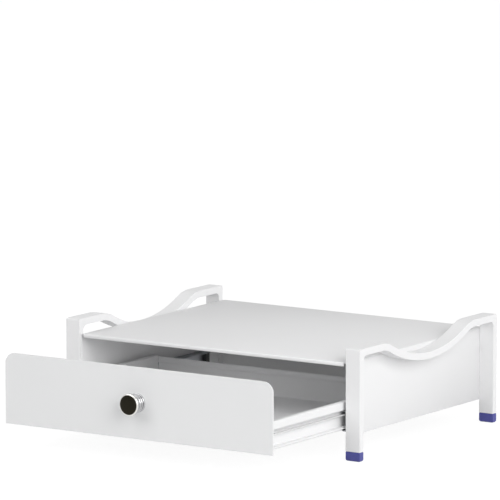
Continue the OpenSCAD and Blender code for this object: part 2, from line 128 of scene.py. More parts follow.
def as_object(name, bm):
    """Turns a bmesh into a piece with outward faces and smooth arcs."""
    bmesh.ops.remove_doubles(bm, verts=bm.verts, dist=WELD)
    bmesh.ops.recalc_face_normals(bm, faces=bm.faces)
    mesh = bpy.data.meshes.new(name)
    bm.to_mesh(mesh)
    bm.free()
    piece = bpy.data.objects.new(name, mesh)
    bpy.context.scene.collection.objects.link(piece)
    mesh.polygons.foreach_set("use_smooth", [True] * len(mesh.polygons))
    mesh.set_sharp_from_angle(angle=SMOOTH_ANGLE)
    return piece


def count_faces(*pieces):
    """Prints what a cell has made."""
    for piece in pieces:
        print(f"{piece.name}: {len(piece.data.polygons)} faces")


# %% [markdown]
# ## Soft edges
# No edge of a real piece is quite sharp: coating, folding and moulding all round it a
# little, and light runs along that rounding as a fine line. The corners could be modelled
# by hand, but Blender's bevel modifier does it for every edge sharper than an angle. It is
# baked into the mesh at once, so that later steps can build on the rounded piece.

# %% Bake a bevel
def apply_modifiers(piece):
    """Bakes a piece's modifiers into its mesh."""
    graph = bpy.context.evaluated_depsgraph_get()
    mesh = bpy.data.meshes.new_from_object(piece.evaluated_get(graph))
    piece.modifiers.clear()
    piece.data = mesh


def soften_edges(piece, width, segments, limit):
    """Rounds the edges of a piece that turn by more than limit, in degrees."""
    bevel = piece.modifiers.new("soft edges", "BEVEL")
    bevel.width = width
    bevel.segments = segments
    bevel.limit_method = "ANGLE"
    bevel.angle_limit = math.radians(limit)
    bevel.harden_normals = True
    apply_modifiers(piece)


# %% [markdown]
# ## The bent side frames
# Each side is one rectangular tube: up the front leg, along a rail that dips in a wave,
# and down the rear leg. The wave is a crest, a dip and a crest, three arcs that run into
# each other. Its length and drop are known, so the slope and the dip's radius follow.

# %% Measure the wave
TUBE_T = 9.5 * MM           # thickness of the side frames' tube
WAVE_FLAT = 55.0 * MM       # level length of a rail at each end
WAVE_DROP = 27.3 * MM
WAVE_CREST = 55.0 * MM      # centre-line radius of a crest

front_y, rear_y = frame_low.y, frame_high.y
middle_y = (front_y + rear_y) / 2
rail_mid = frame_high.z - TUBE_T / 2
wave_half = (rear_y - front_y) / 2 - WAVE_FLAT
wave_angle = 2 * math.degrees(math.atan(WAVE_DROP / wave_half))
wave_dip = wave_half / math.sin(math.radians(wave_angle)) - WAVE_CREST
print(f"wave: {wave_angle:.1f} degrees, dip radius {wave_dip / MM:.0f} mm")

# %% [markdown]
# A curve with a bevel object could be swept along that path, but the tube's corners are
# sharp outside and round inside. So its side view is drawn as two edges instead, an upper
# and a lower one with the same number of points, and only for the front half: the rear
# half is its mirror image.

# %% Draw the tube's two edges
TUBE_CORNER_IN = 7.0 * MM
TUBE_CORNER_OUT = 2.0 * MM
LEG_ROW = 60.0 * MM         # height of a row of points across the leg
RAIL_ROW = 35.0 * MM        # distance of another one across the rail, from the front
CORNER_STEPS = 8
CREST_STEPS = 14
DIP_STEPS = 24


def half_edge(offset, corner_r):
    """The front half of an edge, offset up and out (+) or down and in (-) from the middle."""
    leg_y = front_y + TUBE_T / 2 - offset
    corner = (leg_y + corner_r, rail_mid + offset - corner_r)
    crest = (front_y + WAVE_FLAT, rail_mid - WAVE_CREST)
    dip = (middle_y, rail_mid - WAVE_DROP + wave_dip)
    points = [(leg_y, frame_low.z), (leg_y, frame_low.z + LEG_ROW)]
    points += arc(corner, corner_r, 180, 90, CORNER_STEPS)
    points += [(front_y + RAIL_ROW, rail_mid + offset)]
    points += arc(crest, WAVE_CREST + offset, 90, 90 - wave_angle, CREST_STEPS)
    points += arc(dip, wave_dip - offset, 270 - wave_angle, 270, DIP_STEPS)[1:]
    return points


def whole_edge(half):
    """Adds the rear half, mirrored about the middle."""
    return half + [(2 * middle_y - y, z) for y, z in reversed(half[:-1])]


upper = whole_edge(half_edge(TUBE_T / 2, TUBE_CORNER_OUT))
lower = whole_edge(half_edge(-TUBE_T / 2, TUBE_CORNER_IN))
print("points along each edge:", len(upper))

# %% [markdown]
# Quads join the two edges into the tube's left and right faces, and those two into its
# upper and lower ones. Both cut ends get a face too, and a bevel rounds the long edges.

# %% Pull the side frames
TUBE_EDGE = 0.4 * MM        # rounded long edges of the tube


def build_side_frame(name, node, body):
    low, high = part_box(node)
    left, right = ([[(x, y, z) for y, z in line] for line in (lower, upper)]
                   for x in (low.x, high.x))
    bm = bmesh.new()
    for rows in (left, right, *zip(left, right)):
        grid_faces(bm, rows)
    for end in (0, -1):
        bm.faces.new([bm.verts.new(line[end]) for line in (*left, *reversed(right))])
    piece = as_object(name, bm)
    soften_edges(piece, TUBE_EDGE, segments=4, limit=60)
    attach(piece, body)
    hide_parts(node)
    return piece


side_frames = [build_side_frame(f"bent_tube_{side}", f"side_frame_{side}", "stand")
               for side in ("left", "right")]
count_faces(*side_frames)

# %% [markdown]
# ## Folding a sheet
# The case and the tray are cut from flat sheet and folded on a press brake, which leaves
# a small radius at every fold. A box with bevelled edges would be solid. So a sheet is
# built as it is made, from a line of points with a radius at each corner. Each arc's
# centre lies where two lines meet that run beside the line's legs, one radius away.

# %% Draw a folded line
FOLD = 1.6 * MM             # outer radius of a fold
FOLD_STEPS = 6
fold = FOLD - SHEET / 2     # radius of its middle surface
short_fold = 0.999 * fold   # leaves a hair of straight line where a line starts at a fold


def folded_line(corners, radii):
    """A polyline whose inner corners are rounded to the radii given."""
    points = [Vector(corners[0])]
    for before, corner, after, r in zip(corners, corners[1:], corners[2:], radii):
        corner = Vector(corner)
        inward = (Vector(before) - corner).normalized()
        onward = (Vector(after) - corner).normalized()
        half = inward.angle(onward) / 2
        centre = corner + (inward + onward).normalized() * r / math.sin(half)
        start = corner + inward * r / math.tan(half) - centre
        end = corner + onward * r / math.tan(half) - centre
        for i in range(FOLD_STEPS + 1):
            points.append(centre + start.slerp(end, i / FOLD_STEPS) * r)
    return points + [Vector(corners[-1])]


def mirrored(line, side):
    """A line in X and Z as it is (side 1), or on the other side of X = 0 (side -1)."""
    return [(side * x, z) for x, z in line]


# %% [markdown]
# Pulled along the fold, such a line gives a patch of the sheet's middle surface. Several
# patches share their borders and are welded. Solidify then gives the sheet its thickness
# evenly on both sides, and a fine bevel takes the sharpness off the cut edges.

# %% Pull a line to a sheet
CUT_EDGE = 0.22 * MM


def pull_y(bm, line, ys):
    """A patch whose line lies in X and Z, pulled along Y."""
    grid_faces(bm, [[(p[0], y, p[1]) for p in line] for y in ys])


def pull_x(bm, line, xs):
    """A patch whose line lies in Y and Z, pulled along X."""
    grid_faces(bm, [[(x, p[0], p[1]) for p in line] for x in xs])


def finish_sheet(name, bm):
    """Welds the patches, gives them the sheet's thickness and softens the cut edges."""
    piece = as_object(name, bm)
    solid = piece.modifiers.new("sheet thickness", "SOLIDIFY")
    solid.thickness = SHEET
    solid.offset = 0
    solid.use_even_offset = True
    apply_modifiers(piece)
    soften_edges(piece, CUT_EDGE, segments=2, limit=60)
    piece.data.set_sharp_from_angle(angle=SMOOTH_ANGLE)
    return piece


# %% [markdown]
# ## The case: shelf, walls and lip
# One sheet makes the shelf and both side walls, which hang down from it and stay open at
# the bottom. At the front, the shelf alone is folded down into a lip, which stops short of
# the side walls because two folds can't share a corner: the notch there is real, and so is
# its small dark spot. A cube with bevelled edges would have neither notch nor inside.

# %% Fold the case
CASE_BEND = 3.0 * MM        # outer radius along the shelf's sides
LIP = 5.0 * MM
LIP_INSET = 2.0 * MM        # the lip ends this far short of the bend
NOTCH = 1.0 * MM
bend = CASE_BEND - SHEET / 2
side_x = case_high.x - SHEET / 2
top_z = case_high.z - SHEET / 2
lip_x = side_x - bend - LIP_INSET
notch_x = lip_x + NOTCH
lip_y = case_low.y + SHEET / 2
shelf_ys = [lip_y + fold, case_high.y]

bm = bmesh.new()
wall = folded_line([(side_x, case_low.z), (side_x, top_z), (notch_x, top_z)], [bend])
for side in (-1, 1):
    pull_y(bm, mirrored(wall, side), [case_low.y, *shelf_ys])
    pull_y(bm, mirrored([(notch_x, top_z), (lip_x, top_z)], side), shelf_ys)
pull_y(bm, [(-lip_x, top_z), (lip_x, top_z)], shelf_ys)
lip = folded_line([(lip_y + fold, top_z), (lip_y, top_z), (lip_y, case_high.z - LIP)],
                  [short_fold])
pull_x(bm, lip, [-lip_x, lip_x])
case = finish_sheet("folded_case", bm)
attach(case, "stand")
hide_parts("shell")
count_faces(case)

# %% [markdown]
# ## The drawer tray
# The tray is one sheet too. Its side walls end in a rim that is folded out and down over
# the slides, which stiffens them and gives the hand a round edge. One line from the floor
# over the wall to the rim's end draws all three folds.

# %% Place the tray's folds
RIM_H = 11.0 * MM
RIM_W = 7.0 * MM
rim_x = tray_high.x - SHEET / 2
wall_x = rim_x - RIM_W
floor_x = wall_x - fold
floor_z = tray_low.z + SHEET / 2
rim_z = tray_high.z - SHEET / 2
front_wall, back_wall = tray_low.y + SHEET / 2, tray_high.y - SHEET / 2
floor_ys = [front_wall + fold, back_wall - fold]
side_line = folded_line([(floor_x, floor_z), (wall_x, floor_z), (wall_x, rim_z),
                         (rim_x, rim_z), (rim_x, tray_high.z - RIM_H)],
                        [short_fold, fold, fold])
rim_line = [(x, z) for x, z in side_line if z > floor_z + FOLD]
print("points across a side wall:", len(side_line), "of them in the rim:", len(rim_line))

# %% [markdown]
# The front and back walls are folded up between the side walls. Those stop where these
# folds begin, and only the rim runs on to the tray's ends, so a fine slot stays open at
# each corner. The back wall's top edge is folded flat onto its inside, as a hem.

# %% Fold the tray
BACK_H = 38.0 * MM
FRONT_H = 32.0 * MM
HEM = 8.0 * MM
HEM_GAP = 0.05 * MM

bm = bmesh.new()
for side in (-1, 1):
    pull_y(bm, mirrored(side_line, side), floor_ys)
    pull_y(bm, mirrored(rim_line, side), [tray_low.y, floor_ys[0]])
    pull_y(bm, mirrored(rim_line, side), [floor_ys[1], tray_high.y])
pull_y(bm, [(-floor_x, floor_z), (floor_x, floor_z)], floor_ys)
for y, fold_y, height in ((front_wall, floor_ys[0], FRONT_H), (back_wall, floor_ys[1], BACK_H)):
    line = folded_line([(fold_y, floor_z), (y, floor_z), (y, tray_low.z + height)], [short_fold])
    pull_x(bm, line, [-floor_x, floor_x])
hem_y = back_wall - SHEET - HEM_GAP
hem_top = tray_low.z + BACK_H
pull_x(bm, [(hem_y, hem_top - HEM), (hem_y, hem_top)], [-floor_x, floor_x])
tray = finish_sheet("folded_tray", bm)
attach(tray, "drawer")
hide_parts("drawer_tray")
count_faces(tray)

# %% [markdown]
# ## The drawer front
# The front is a thicker plate with two round top corners and sharp bottom ones. A cube
# could be bevelled at those two corners, but an outline pulled to its thickness says the
# same in fewer steps. The bevel is a little wider than on the sheets, because this edge is
# rounded by hand before coating and catches a clear line of light.

# %% Cut the drawer front
FRONT_CORNER = 15.0 * MM
FRONT_CORNER_STEPS = 20
FRONT_EDGE = 0.5 * MM
corner_z = front_high.z - FRONT_CORNER
outline = [(front_low.x, front_low.z), (front_high.x, front_low.z)]
for x, start in ((front_high.x - FRONT_CORNER, 0), (front_low.x + FRONT_CORNER, 90)):
    outline += arc((x, corner_z), FRONT_CORNER, start, start + 90, FRONT_CORNER_STEPS)

bm = bmesh.new()
closed_stack(bm, [[(x, y, z) for x, z in outline] for y in (front_low.y, front_high.y)])
front = as_object("front_plate", bm)
soften_edges(front, FRONT_EDGE, segments=3, limit=50)
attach(front, "drawer")
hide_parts("drawer_front")
count_faces(front)

# %% [markdown]
# ## The turned knob
# A knob is turned on a lathe, so its axis and a few radii and lengths describe it. They
# come from the boxes of the backplate and the body. Lengths run from the drawer's front
# outwards, which is towards -Y.

# %% Measure the knob
plate_low, plate_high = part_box("knob_backplate")
body_low, body_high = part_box("knob_body")
knob_x = (body_low.x + body_high.x) / 2
knob_z = (body_low.z + body_high.z) / 2
plate_t = plate_high.y - plate_low.y
plate_r = (plate_high.x - plate_low.x) / 2
face_r = (body_high.x - body_low.x) / 2
knob_l = plate_high.y - body_low.y
print(f"knob: {2 * face_r / MM:.1f} mm across, {knob_l / MM:.1f} mm long with its backplate")

# %% [markdown]
# A half outline spun about the axis gives the piece. Blender's screw modifier could spin
# it. A helper that places the points itself needs no extra object and lands on the right
# axis at once, and 96 steps keep the rim round in close views.

# %% Spin a profile
SPIN_STEPS = 96


def spin(name, profile):
    """Turns (radius, distance from the drawer front) points about the knob's axis."""
    turns = [2 * math.pi * i / SPIN_STEPS for i in range(SPIN_STEPS + 1)]
    bm = bmesh.new()
    grid_faces(bm, [[(knob_x + r * math.cos(a), plate_high.y - out, knob_z + r * math.sin(a))
                     for a in turns] for r, out in profile])
    piece = as_object(name, bm)
    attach(piece, "drawer")
    return piece


# %% [markdown]
# The backplate is a piece of its own, as on the real knob: a disc with a round front edge.
# Its outline starts and ends on the axis, so the spin closes it on both sides.

# %% Turn the backplate
NECK_R = 9.5 * MM
EDGE_STEPS = 8
plate_edge = plate_t / 3
plate_profile = [(0.0, 0.0), (plate_r, 0.0), (plate_r, plate_t - plate_edge)]
plate_profile += arc((plate_r - plate_edge, plate_t - plate_edge), plate_edge, 0, 90,
                     EDGE_STEPS)[1:]
plate_profile += [(NECK_R, plate_t), (0.0, plate_t)]
backplate = spin("knob_plate", plate_profile)
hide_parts("knob_backplate")
count_faces(backplate)

# %% [markdown]
# The body's outline runs from the backplate over three ribs, each a little wider than the
# one before, to the head and its domed face. A rib is an arc that begins and ends where
# its circle meets the neck. The dome and the rounding at the rim meet without an edge,
# which fixes the angle at which one takes over from the other.

# %% Turn the body
RIB_R = 1.9 * MM
RIB_PITCH = 4.2 * MM
RIB_OUT = [12.5 * MM, 12.625 * MM, 12.75 * MM]
HEAD_T = 6.0 * MM
HEAD_EDGE = 1.8 * MM        # rounding behind the head
RIM_EDGE = 2.2 * MM         # rounding around its face
DOME_R = 60.0 * MM
CURVE_STEPS = 14
profile = [(0.0, plate_t), (NECK_R, plate_t)]
for i, rib in enumerate(RIB_OUT):
    centre = (rib - RIB_R, plate_t + (i + 0.5) * RIB_PITCH)
    reach = math.degrees(math.acos((NECK_R - centre[0]) / RIB_R))
    profile += arc(centre, RIB_R, -reach, reach, CURVE_STEPS)
head_out = knob_l - HEAD_T
profile += [(NECK_R, head_out)]
profile += arc((face_r - HEAD_EDGE, head_out + HEAD_EDGE), HEAD_EDGE, -90, 0, EDGE_STEPS)
dome_out = knob_l - DOME_R
rim_r = face_r - RIM_EDGE
rim_out = dome_out + math.sqrt((DOME_R - RIM_EDGE) ** 2 - rim_r ** 2)
lean = math.degrees(math.atan2(rim_out - dome_out, rim_r))
profile += arc((rim_r, rim_out), RIM_EDGE, 0, lean, EDGE_STEPS)
profile += arc((0.0, dome_out), DOME_R, lean, 90, CURVE_STEPS)[1:]
knob = spin("knob_turned", profile)
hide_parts("knob_body")
count_faces(knob)

# %% [markdown]
# ## The blue foot caps
# A cap is injection moulded: a short box with soft bottom edges that plugs into the leg
# and ends flush with it. A scaled cube would do for the box, but not for the fine step at
# its top, where the tube's cut end sits on the cap and light catches a thin line. So rings
# of four corners are stacked, each with its own inset and height.

# %% Mould the foot caps
CAP_EDGE = 3.0 * MM
CAP_EDGE_STEPS = 5
CAP_SOFT = 0.3 * MM
STEP_IN = 0.35 * MM         # inset of the fine step
STEP_START = 0.8 * MM       # its start and its end, below the tube's cut end
STEP_END = 0.5 * MM
PLUG_IN = 1.4 * MM          # inset of the plug inside the tube
PLUG_START = 0.02 * MM      # its shoulder, below the tube's cut end


def build_cap(end, side):
    node = f"foot_cap_{end}_{side}"
    low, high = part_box(node)
    tube_end = frame_low.z
    rings = [(0.0, 0.0), (0.0, tube_end - STEP_START), (STEP_IN, tube_end - STEP_END),
             (STEP_IN, tube_end - PLUG_START), (PLUG_IN, tube_end - PLUG_START),
             (PLUG_IN, high.z)]
    bm = bmesh.new()
    closed_stack(bm, [[(low.x + inset, low.y + inset, z), (high.x - inset, low.y + inset, z),
                       (high.x - inset, high.y - inset, z), (low.x + inset, high.y - inset, z)]
                      for inset, z in rings])
    bottom = [e for e in bm.edges if all(v.co.z < WELD for v in e.verts)]
    bmesh.ops.bevel(bm, geom=bottom, offset=CAP_EDGE, segments=CAP_EDGE_STEPS, profile=0.5,
                    affect="EDGES")
    piece = as_object(f"cap_{end}_{side}", bm)
    soften_edges(piece, CAP_SOFT, segments=2, limit=50)
    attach(piece, "stand")
    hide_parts(node)
    return piece


caps = [build_cap(end, side) for end in ("front", "rear") for side in ("left", "right")]
count_faces(*caps)

# %% [markdown]
# ## Node groups: effects that several finishes share
# A powder coat, a moulded plastic and a plated metal all need "the same colour, but not
# quite everywhere". Such effects are node groups with named inputs, so that each material
# sets its own values. Images could do the same, but noise has no pixels and needs no
# unwrapping. Three small helpers make the trees short to write: an input gets either a
# fixed value or a link, and feed does whichever is right.

# %% Feed an input
def feed(tree, socket, value):
    """Links an input to another node's output, or sets a fixed number, vector or colour."""
    if isinstance(value, bpy.types.NodeSocket):
        tree.links.new(value, socket)
    elif socket.type == "RGBA":
        socket.default_value = (*value, 1.0)
    else:
        socket.default_value = value


def math_node(tree, operation, *values, clamp=False):
    """A Math node; returns its output."""
    node = tree.nodes.new("ShaderNodeMath")
    node.operation = operation
    node.use_clamp = clamp
    for socket, value in zip(node.inputs, values):
        feed(tree, socket, value)
    return node.outputs[0]


def noise(tree, vector, scale, detail, roughness=0.5):
    """A noise texture that puts out numbers around 0.5."""
    node = tree.nodes.new("ShaderNodeTexNoise")
    for label, value in (("Vector", vector), ("Scale", scale), ("Detail", detail),
                         ("Roughness", roughness)):
        feed(tree, node.inputs[label], value)
    return node.outputs["Fac"]


# %% [markdown]
# A group's sockets are made on its interface, and its two end nodes then show them. The
# groups only put out numbers that change over the surface; the shader itself stays in the
# material.

# %% Make and use a group
NOWHERE = (0.0, 0.0, 0.0)   # default of a position input, which is always linked


def new_group(name, inputs, outputs):
    """A node group and its end nodes; inputs are labels with defaults, outputs are numbers."""
    group = bpy.data.node_groups.new(name, "ShaderNodeTree")
    for label, default in inputs.items():
        kind = "NodeSocketVector" if isinstance(default, tuple) else "NodeSocketFloat"
        socket = group.interface.new_socket(name=label, in_out="INPUT", socket_type=kind)
        socket.default_value = default
    for label in outputs:
        group.interface.new_socket(name=label, in_out="OUTPUT", socket_type="NodeSocketFloat")
    return group, group.nodes.new("NodeGroupInput"), group.nodes.new("NodeGroupOutput")


def use_group(tree, group, **values):
    """Places a group in a tree; the keywords are its input names, with _ for a space."""
    node = tree.nodes.new("ShaderNodeGroup")
    node.node_tree = group
    for label, value in values.items():
        feed(tree, node.inputs[label.replace("_", " ")], value)
    return node


# %% [markdown]
# ### Powder skin
# Powder coat melts into a skin with a fine orange peel, about a millimetre from crest to
# crest, over an even finer grain. Modelled, it would take millions of faces; as a height
# for a bump it takes two noises. A third, very wide one lets the gloss and the shade drift
# a little, because no coat is equally thick everywhere.

# %% Powder skin group
GRAIN_FINER = 3.7           # how much finer the grain is than the peel
DRIFT_SCALE = 9.0           # scale of the wide noise, per metre
GRAIN_SHADE = 0.25          # the grain's share of the shade, the rest is the wide noise
powder_group, gin, gout = new_group(
    "Powder Skin", {"Position": NOWHERE, "Peel Scale": 700.0, "Grain Share": 0.35},
    ("Height", "Shade", "Gloss Drift"))
position, peel_scale = gin.outputs["Position"], gin.outputs["Peel Scale"]
peel = noise(powder_group, position, peel_scale, detail=1.5)
grain_scale = math_node(powder_group, "MULTIPLY", peel_scale, GRAIN_FINER)
grain = noise(powder_group, position, grain_scale, detail=2.0)
wide = noise(powder_group, position, DRIFT_SCALE, detail=3.0, roughness=0.6)

grain_height = math_node(powder_group, "MULTIPLY", grain, gin.outputs["Grain Share"])
wide_shade = math_node(powder_group, "MULTIPLY", wide, 1.0 - GRAIN_SHADE)
for label, value in (
        ("Height", math_node(powder_group, "ADD", peel, grain_height)),
        ("Shade", math_node(powder_group, "MULTIPLY_ADD", grain, GRAIN_SHADE, wide_shade)),
        ("Gloss Drift", math_node(powder_group, "SUBTRACT", wide, 0.5))):
    feed(powder_group, gout.inputs[label], value)
print(powder_group.name, "has", len(powder_group.nodes), "nodes")

# %% [markdown]
# ### Drawn lines
# Rolled strip and wire carry fine lines along the way they were pulled. Squeezing a noise
# along two axes and stretching it along the third makes such lines. The input Stretch is
# a vector, so the same group serves lines along any axis.

# %% Drawn lines group
CLOUD_SCALE = 60.0          # scale of the cloudy patches, per metre
LINE_SHADE = 0.4            # the lines' share of the shade, the rest is cloudy
lines_group, gin, gout = new_group(
    "Drawn Lines", {"Position": NOWHERE, "Stretch": (1.0, 1.0, 1.0)}, ("Height", "Shade"))
position = gin.outputs["Position"]
scaled = lines_group.nodes.new("ShaderNodeVectorMath")
scaled.operation = "MULTIPLY"
feed(lines_group, scaled.inputs[0], position)
feed(lines_group, scaled.inputs[1], gin.outputs["Stretch"])
fine = noise(lines_group, scaled.outputs[0], 1.0, detail=4.0, roughness=0.65)
cloud = noise(lines_group, position, CLOUD_SCALE, detail=3.0, roughness=0.6)
fine_shade = math_node(lines_group, "MULTIPLY", fine, LINE_SHADE)
shade = math_node(lines_group, "MULTIPLY_ADD", cloud, 1.0 - LINE_SHADE, fine_shade)
feed(lines_group, gout.inputs["Height"], fine)
feed(lines_group, gout.inputs["Shade"], shade)
print(lines_group.name, "has", len(lines_group.nodes), "nodes")

# %% [markdown]
# ## Materials
# Each material holds one Principled shader. Numbers that are the same all over are set on
# its own sockets. Only colour, roughness and the bump change from place to place, and they
# are placed by object coordinates, so that the skin stays on a piece when it moves.

# %% Material helpers
def new_material(name, roughness, metallic=0.0, specular=0.5):
    """An empty material; returns it with its tree, shader and object coordinates."""
    material = bpy.data.materials.new(name)
    material.use_nodes = True
    tree = material.node_tree
    shader = next(n for n in tree.nodes if n.type == "BSDF_PRINCIPLED")
    for label, value in (("Roughness", roughness), ("Metallic", metallic),
                         ("Specular IOR Level", specular)):
        feed(tree, shader.inputs[label], value)
    print("material:", name)
    return material, tree, shader, tree.nodes.new("ShaderNodeTexCoord").outputs["Object"]


def blend_colours(tree, factor, low, high):
    """Mixes two colours by a factor that changes over the surface."""
    mix = tree.nodes.new("ShaderNodeMix")
    mix.data_type = "RGBA"
    for label, value in (("Factor", factor), ("A", low), ("B", high)):
        feed(tree, mix.inputs[label], value)
    return mix.outputs["Result"]


def add_bump(tree, shader, height, relief):
    """Tilts the shader's normal as if the surface rose by height times relief, in metres."""
    bump = tree.nodes.new("ShaderNodeBump")
    for label, value in (("Strength", 1.0), ("Distance", relief), ("Height", height)):
        feed(tree, bump.inputs[label], value)
    feed(tree, shader.inputs["Normal"], bump.outputs["Normal"])


# %% [markdown]
# ### Powder and plastic
# Coat and moulded plastic are the same kind of surface: a pale or dark body under a
# slightly uneven skin. One function makes all of them. It blends two close colours by the
# skin's shade, and lets the roughness drift where a drift is given.

# %% Skin material
def skin_material(name, low, high, roughness, relief, drift=0.0, specular=0.5, **skin_inputs):
    material, tree, shader, position = new_material(name, roughness, specular=specular)
    skin = use_group(tree, powder_group, Position=position, **skin_inputs)
    colour = blend_colours(tree, skin.outputs["Shade"], low, high)
    feed(tree, shader.inputs["Base Color"], colour)
    if drift:
        drifting = math_node(tree, "MULTIPLY_ADD", skin.outputs["Gloss Drift"], drift, roughness,
                             clamp=True)
        feed(tree, shader.inputs["Roughness"], drifting)
    add_bump(tree, shader, skin.outputs["Height"], relief)
    return material


# %% [markdown]
# ### White powder coat
# The same coat covers the frames, the case and the drawer, but it doesn't look the same on
# all three: the tube is coated a little thicker and glossier, and the large flat front gets
# a greyer tint, which is painted shade. A fine texture scatters the shine at low angles, so
# the coat's specular level is under that of smooth paint.

# %% White coats
COAT_SPECULAR = 0.25
COAT_DEEP = 0.965           # brightness of the coat's darker places
COAT_DRIFT = 0.12
WHITE = (0.87, 0.87, 0.875)
# The front's greyer white is painted shade: the same white coat, darkened on the front.
FRONT_WHITE_PAINTED_SHADE = (0.825, 0.829, 0.833)


def powder_coat(name, tint, roughness, peel_scale, relief):
    deep = tuple(c * COAT_DEEP for c in tint)
    return skin_material(name, deep, tint, roughness, relief, COAT_DRIFT, COAT_SPECULAR,
                         Peel_Scale=peel_scale)


coat_tube = powder_coat("white coat on tube", WHITE,
                        roughness=0.46, peel_scale=620.0, relief=0.06 * MM)
coat_sheet = powder_coat("white coat on sheet", WHITE,
                         roughness=0.56, peel_scale=760.0, relief=0.05 * MM)
coat_front = powder_coat("white coat on front with painted shade", FRONT_WHITE_PAINTED_SHADE,
                         roughness=0.50, peel_scale=700.0, relief=0.06 * MM)

# %% [markdown]
# ### Blue moulded caps
# The plastic is coloured all through. A spark-eroded mould leaves a fine matt grain on it,
# so its bump is finer than the powder's.

# %% Blue plastic
cap_material = skin_material("indigo moulded plastic",
                             low=(0.046, 0.050, 0.250), high=(0.078, 0.084, 0.345),
                             roughness=0.45, relief=0.04 * MM, drift=0.2,
                             Peel_Scale=2600.0, Grain_Share=0.6)

# %% [markdown]
# ### Polished nickel knob
# The knob is turned and nickel plated. Its face is painted almost black, a painted dark
# reflection inside a bright nickel rim, and its grooves are painted dark, which is painted
# shade between bright rib crests. Painted masks could tell these places apart, but on a
# turned piece the distance to its axis already does.

# %% Knob masks
FACE_EDGE = (face_r - 2.2 * MM, face_r - 1.5 * MM)
FACE_DEPTH = 2.8 * MM
GROOVE_EDGE = (NECK_R + 1.5 * MM, RIB_OUT[0] - 0.2 * MM)
# This material paints darkness on the knob: a painted dark reflection on its face and painted
# shade in its grooves.
knob_material, tree, shader, position = new_material("nickel with painted dark face and grooves", roughness=0.16,
                                                     metallic=1.0)
apart = tree.nodes.new("ShaderNodeSeparateXYZ")
feed(tree, apart.inputs[0], position)
squares = []
for axis, middle in (("X", knob_x), ("Z", knob_z)):
    off_axis = math_node(tree, "SUBTRACT", apart.outputs[axis], middle)
    squares.append(math_node(tree, "MULTIPLY", off_axis, off_axis))
radius = math_node(tree, "SQRT", math_node(tree, "ADD", *squares))


def radial_mask(start, end):
    """0 inside one radius of the knob, 1 outside another, with a soft step between them."""
    step = tree.nodes.new("ShaderNodeMapRange")
    step.interpolation_type = "SMOOTHSTEP"
    for label, value in (("Value", radius), ("From Min", start), ("From Max", end)):
        feed(tree, step.inputs[label], value)
    return step.outputs["Result"]


# These two masks end the face's painted dark reflection and the grooves' painted shade.
rim_share = radial_mask(*FACE_EDGE)
rib_share = radial_mask(*GROOVE_EDGE)
face_y = plate_high.y - knob_l + FACE_DEPTH
on_face = math_node(tree, "LESS_THAN", apart.outputs["Y"], face_y)

# %% [markdown]
# The face goes from a painted dark reflection to a bright rim, the side from painted shade
# in the grooves to bright ribs, and the last mask picks the one or the other. A lathe leaves
# fine rings, which are a sine of the radius here, fed to the bump.

# %% Knob nickel
KNOB_LINE_STRETCH = (500.0, 500.0, 500.0)
# The face's two dark colours are a painted reflection; the groove colour is painted shade.
PAINTED_REFLECTION_BLACK, PAINTED_REFLECTION_BROWN, BRIGHT = (0.012, 0.011, 0.008), (0.030, 0.027, 0.019), (0.74, 0.73, 0.70)
PAINTED_GROOVE_SHADE, CREST = (0.035, 0.035, 0.038), (0.56, 0.56, 0.57)
GLOSS_START, GLOSS_SWING = 0.08, 0.12
RING_PITCH = 0.35 * MM
RING_RELIEF = 0.002 * MM
knob_lines = use_group(tree, lines_group, Position=position, Stretch=KNOB_LINE_STRETCH)
# Painted dark reflection on the face, varied by the drawn lines.
painted_dark_face = blend_colours(tree, knob_lines.outputs["Shade"], PAINTED_REFLECTION_BLACK, PAINTED_REFLECTION_BROWN)
face_colour = blend_colours(tree, rim_share, painted_dark_face, BRIGHT)
side_colour = blend_colours(tree, rib_share, PAINTED_GROOVE_SHADE, CREST)
colour = blend_colours(tree, on_face, side_colour, face_colour)
feed(tree, shader.inputs["Base Color"], colour)
gloss = math_node(tree, "MULTIPLY_ADD", knob_lines.outputs["Shade"], GLOSS_SWING, GLOSS_START)
feed(tree, shader.inputs["Roughness"], gloss)
ring_phase = math_node(tree, "MULTIPLY", radius, 2 * math.pi / RING_PITCH)
add_bump(tree, shader, math_node(tree, "SINE", ring_phase), RING_RELIEF)

# %% [markdown]
# ### Zinc-plated slides and screws
# Zinc plating is pale, bluish and cloudy. The slides are rolled from strip, so their lines
# run along Y. Screws and nuts are small and turned, so theirs are short and even. Oiled
# and polished steel take the same recipe with darker or smoother values.

# %% Bare metals
LINE_GLOSS = 0.25           # how far the lines move the roughness
LINE_GLOSS_START = -0.1     # and where they start, from the roughness given


def bare_metal(name, low, high, roughness, stretch, relief):
    material, tree, shader, position = new_material(name, roughness, metallic=1.0)
    lines = use_group(tree, lines_group, Position=position, Stretch=stretch)
    shade = lines.outputs["Shade"]
    feed(tree, shader.inputs["Base Color"], blend_colours(tree, shade, low, high))
    gloss = math_node(tree, "MULTIPLY_ADD", shade, LINE_GLOSS, roughness + LINE_GLOSS_START)
    feed(tree, shader.inputs["Roughness"], gloss)
    add_bump(tree, shader, lines.outputs["Height"], relief)
    return material


